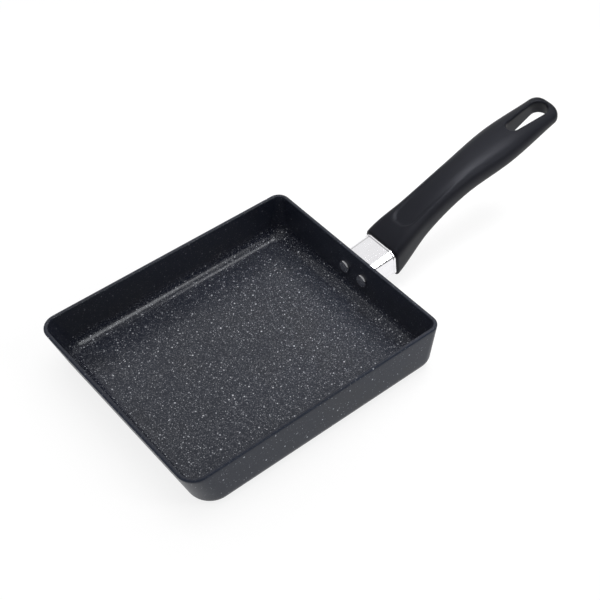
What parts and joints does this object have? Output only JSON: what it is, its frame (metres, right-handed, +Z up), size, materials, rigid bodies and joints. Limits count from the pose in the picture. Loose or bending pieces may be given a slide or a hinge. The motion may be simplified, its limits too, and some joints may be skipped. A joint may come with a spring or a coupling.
{
  "type": "tamagoyaki pan",
  "caption": "Rectangular rolled-omelette pan with a sloped front wall, a polished flame guard and an S-curved moulded handle with a hanging slot.",
  "frame": {"origin": "middle of the pan's underside between the rim's four sides, on the surface it stands on", "axes": "+X from the pan to the end of the handle, +Y across the pan, +Z up"},
  "size_m": [0.3405, 0.1476, 0.0718],
  "materials": {
    "speckled_coating": "aluminium under a dark speckled non-stick coating",
    "rivet_metal": "bare, smooth",
    "bracket_steel": "zinc plated",
    "polished_guard": "polished",
    "grip_resin": "satin moulded resin",
    "fastener_steel": "zinc plated"
  },
  "bodies": {
    "root": {"pan_shell": "speckled_coating", "rivet_left": "rivet_metal", "rivet_right": "rivet_metal", "handle_bracket": "bracket_steel", "tang_nut": "bracket_steel", "flame_guard": "polished_guard", "handle_grip": "grip_resin", "handle_screw": "fastener_steel", "spring_washer": "fastener_steel", "flat_washer": "fastener_steel"}
  },
  "joints": []
}
